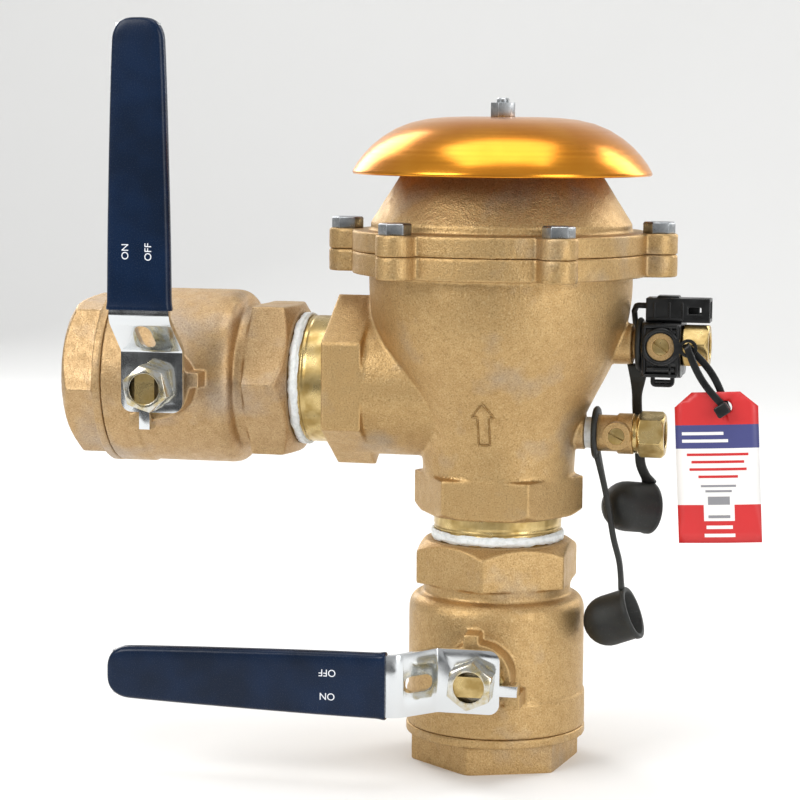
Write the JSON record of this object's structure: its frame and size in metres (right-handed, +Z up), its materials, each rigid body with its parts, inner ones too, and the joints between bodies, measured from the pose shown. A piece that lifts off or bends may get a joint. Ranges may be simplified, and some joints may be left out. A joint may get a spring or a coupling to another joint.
{
  "type": "backflow preventer",
  "caption": "Bronze pressure vacuum breaker with a vertical inlet, side outlet, lever ball valves, domed canopy, slotted test cocks, rubber caps and a clamp-on sensor.",
  "frame": {"origin": "centre of the inlet's mouth, at the bottom end of the riser", "axes": "+Z up the riser, outlet along -X, valve stems and levers towards -Y, test cocks along +X"},
  "size_m": [0.3303, 0.1522, 0.3505],
  "materials": {
    "cast_bronze": "sand cast, as cast",
    "turned_brass": "turned, bright",
    "chromed_steel": "bright plated",
    "plated_nut": "yellowish zinc plate",
    "stainless": "plain",
    "anodised_aluminium": "orange gold anodised",
    "vinyl_grip": "dip moulded, gloss",
    "ptfe": "white",
    "rubber": "moulded, matt",
    "nylon_black": "moulded, satin",
    "acetal": "moulded, natural",
    "spring_steel": "drawn wire",
    "card": "printed, coated",
    "cable_jacket": "extruded, matt"
  },
  "bodies": {
    "assembly": {"main_body": "cast_bronze", "bonnet": "cast_bronze", "bonnet_seal": "rubber", "bonnet_bolts": "stainless", "canopy": "anodised_aluminium", "canopy_stud": "stainless", "canopy_spacer_nut": "stainless", "canopy_lock_nut": "stainless", "check_guide": "acetal", "check_spring": "spring_steel", "air_spring": "spring_steel", "inlet_nipple": "turned_brass", "outlet_nipple": "turned_brass", "inlet_thread_tape": "ptfe", "outlet_thread_tape": "ptfe", "lower_cock_tape": "ptfe", "upper_cock_body": "cast_bronze", "upper_cock_end": "turned_brass", "upper_cock_seats": "ptfe", "lower_cock_body": "cast_bronze", "lower_cock_end": "turned_brass", "lower_cock_seats": "ptfe", "sensor_clamp_front": "nylon_black", "sensor_clamp_back": "nylon_black", "sensor_latch": "nylon_black", "sensor_connector": "nylon_black", "sensor_cable": "cable_jacket", "inlet_valve_body": "cast_bronze", "inlet_end_cap": "cast_bronze", "inlet_ball_seats": "ptfe", "inlet_stem_packing": "ptfe", "inlet_gland_nut": "turned_brass", "outlet_valve_body": "cast_bronze", "outlet_end_cap": "cast_bronze", "outlet_ball_seats": "ptfe", "outlet_stem_packing": "ptfe", "outlet_gland_nut": "turned_brass"},
    "inlet_lever": {"inlet_ball": "chromed_steel", "inlet_stem": "turned_brass", "inlet_handle": "chromed_steel", "inlet_grip": "vinyl_grip", "inlet_handle_nut": "plated_nut"},
    "outlet_lever": {"outlet_ball": "chromed_steel", "outlet_stem": "turned_brass", "outlet_handle": "chromed_steel", "outlet_grip": "vinyl_grip", "outlet_handle_nut": "plated_nut"},
    "upper_cock_plug": {"upper_cock_ball": "turned_brass", "upper_cock_stem": "turned_brass"},
    "lower_cock_plug": {"lower_cock_ball": "turned_brass", "lower_cock_stem": "turned_brass"},
    "check": {"check_poppet": "acetal", "check_seal": "rubber", "check_seal_retainer": "stainless"},
    "air_inlet": {"air_poppet": "acetal", "air_seal": "rubber"},
    "upper_cap": {"upper_cap": "rubber"},
    "lower_cap": {"lower_cap": "rubber"},
    "tag": {"cable_tie": "nylon_black", "hang_tag": "card"}
  },
  "joints": [
    {"name": "inlet_handle_turn", "type": "hinge", "parent": "assembly", "child": "inlet_lever", "pos_m": [0, -0.057, 0.053], "axis": [0, -1, 0], "range_deg": [0, 90]},
    {"name": "outlet_handle_turn", "type": "hinge", "parent": "assembly", "child": "outlet_lever", "pos_m": [-0.152, -0.057, 0.183], "axis": [0, -1, 0], "range_deg": [0, 90]},
    {"name": "upper_cock_turn", "type": "hinge", "parent": "assembly", "child": "upper_cock_plug", "pos_m": [0.0767, -0.012, 0.2035], "axis": [0, -1, 0], "range_deg": [0, 90]},
    {"name": "lower_cock_turn", "type": "hinge", "parent": "assembly", "child": "lower_cock_plug", "pos_m": [0.057, -0.012, 0.1615], "axis": [0, -1, 0], "range_deg": [0, 90]},
    {"name": "check_lift", "type": "slide", "parent": "assembly", "child": "check", "axis": [0, 0, 1], "range_m": [0, 0.014], "stiffness_N_per_m": 250, "springref_m": -0.02, "deforming": ["check_spring"]},
    {"name": "air_inlet_lift", "type": "slide", "parent": "assembly", "child": "air_inlet", "axis": [0, 0, 1], "range_m": [0, 0.014], "stiffness_N_per_m": 120, "springref_m": -0.012, "deforming": ["air_spring"]},
    {"name": "upper_cap_swing", "type": "hinge", "parent": "assembly", "child": "upper_cap", "pos_m": [0.066, 0, 0.2035], "axis": [1, 0, 0], "range_deg": [0, 60]},
    {"name": "lower_cap_swing", "type": "hinge", "parent": "assembly", "child": "lower_cap", "pos_m": [0.0463, 0, 0.1615], "axis": [1, 0, 0], "range_deg": [-60, 0]},
    {"name": "tag_swing", "type": "hinge", "parent": "assembly", "child": "tag", "pos_m": [0.0897, -0.015, 0.2035], "axis": [0, -1, 0], "range_deg": [0, 60]}
  ]
}
